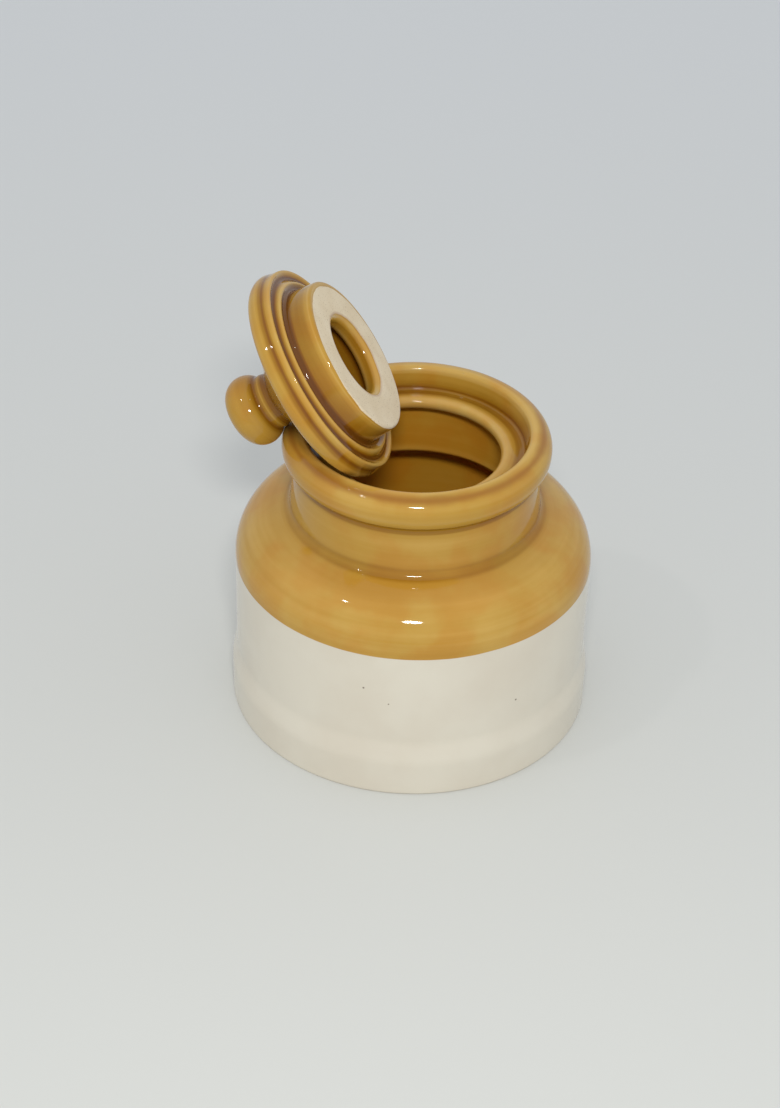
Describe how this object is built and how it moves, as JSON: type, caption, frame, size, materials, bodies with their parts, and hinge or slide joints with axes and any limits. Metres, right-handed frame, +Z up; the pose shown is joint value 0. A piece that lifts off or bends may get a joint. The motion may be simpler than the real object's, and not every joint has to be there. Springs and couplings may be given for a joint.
{
  "type": "water seal pickle jar",
  "caption": "Small stoneware pickle jar, honey glaze over cream, with a water gutter round its mouth and its hollow knobbed lid leaning in the open rim.",
  "frame": {"origin": "middle of the flat base, on the surface the jar stands on", "axes": "+Z up along the jar's axis; the lid leans down towards -X with its hollow underside facing +X and up"},
  "size_m": [0.1406, 0.1392, 0.1764],
  "materials": {
    "cream_glaze": "gloss",
    "honey_glaze": "gloss"
  },
  "bodies": {
    "jar": {"jar_body": "cream_glaze", "jar_shoulder": "honey_glaze", "jar_rim": "honey_glaze"},
    "lid": {"lid_cover": "honey_glaze", "lid_knob": "honey_glaze"}
  },
  "joints": [
    {"name": "lid_lift", "type": "slide", "parent": "jar", "child": "lid", "axis": [0, 0, 1], "range_m": [0, 0.12]}
  ]
}
